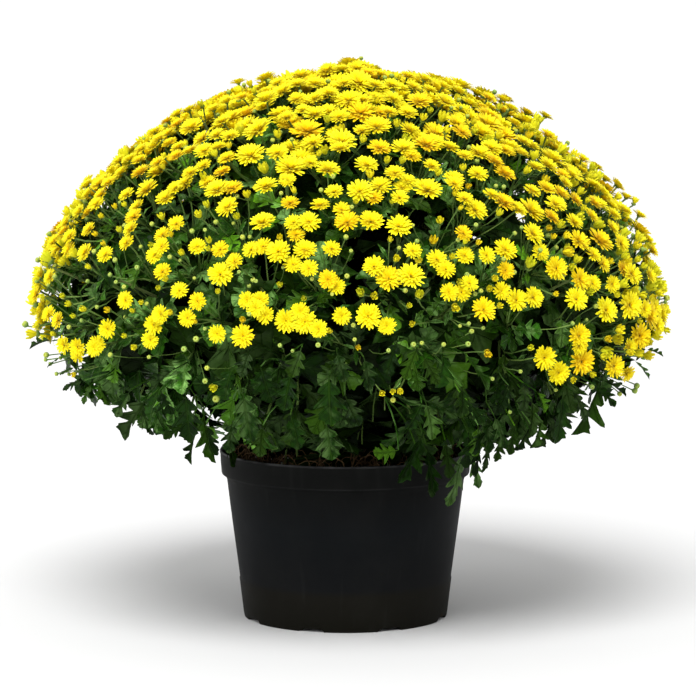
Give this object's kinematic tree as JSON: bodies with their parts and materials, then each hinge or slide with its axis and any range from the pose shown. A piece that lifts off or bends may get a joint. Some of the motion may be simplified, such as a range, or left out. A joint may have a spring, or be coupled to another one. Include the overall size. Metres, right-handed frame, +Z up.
{
  "type": "pot chrysanthemum",
  "caption": "Round cushion chrysanthemum with small double yellow blooms, buds and lobed leaves, growing in a black moulded nursery pot.",
  "frame": {"origin": "middle of the pot's standing ring, on the surface that the pot stands on", "axes": "+Z up the pot's axis; +X to the right and +Y away from the viewer as the plant is pictured"},
  "size_m": [0.7761, 0.7703, 0.6781],
  "materials": {
    "pot": "black moulded plastic, soft satin, faintly scuffed and dusty",
    "potting_mix": "dark brown fibrous bark and peat",
    "stems": "ridged green stem, brown and woody at the crown",
    "leaves": "dull dark green leaf, downy, with paler veins",
    "blooms": "velvety bright yellow petals"
  },
  "bodies": {
    "root": {"pot": "pot", "potting_mix": "potting_mix", "root_crown": "stems", "main_stem_top": "stems", "main_stem_inner_01": "stems", "main_stem_inner_02": "stems", "main_stem_inner_03": "stems", "main_stem_inner_04": "stems", "main_stem_inner_05": "stems", "main_stem_inner_06": "stems", "main_stem_outer_01": "stems", "main_stem_outer_02": "stems", "main_stem_outer_03": "stems", "main_stem_outer_04": "stems", "main_stem_outer_05": "stems", "main_stem_outer_06": "stems", "main_stem_outer_07": "stems", "main_stem_outer_08": "stems", "main_stem_outer_09": "stems", "main_stem_outer_10": "stems", "main_stem_outer_11": "stems", "main_stem_outer_12": "stems", "leaves_top": "leaves", "leaves_inner_01": "leaves", "leaves_inner_02": "leaves", "leaves_inner_03": "leaves", "leaves_inner_04": "leaves", "leaves_inner_05": "leaves", "leaves_inner_06": "leaves", "leaves_outer_01": "leaves", "leaves_outer_02": "leaves", "leaves_outer_03": "leaves", "leaves_outer_04": "leaves", "leaves_outer_05": "leaves", "leaves_outer_06": "leaves", "leaves_outer_07": "leaves", "leaves_outer_08": "leaves", "leaves_outer_09": "leaves", "leaves_outer_10": "leaves", "leaves_outer_11": "leaves", "leaves_outer_12": "leaves", "blooms_top": "blooms", "blooms_inner_01": "blooms", "blooms_inner_02": "blooms", "blooms_inner_03": "blooms", "blooms_inner_04": "blooms", "blooms_inner_05": "blooms", "blooms_inner_06": "blooms", "blooms_outer_01": "blooms", "blooms_outer_02": "blooms", "blooms_outer_03": "blooms", "blooms_outer_04": "blooms", "blooms_outer_05": "blooms", "blooms_outer_06": "blooms", "blooms_outer_07": "blooms", "blooms_outer_08": "blooms", "blooms_outer_09": "blooms", "blooms_outer_10": "blooms", "blooms_outer_11": "blooms", "blooms_outer_12": "blooms"}
  },
  "joints": []
}
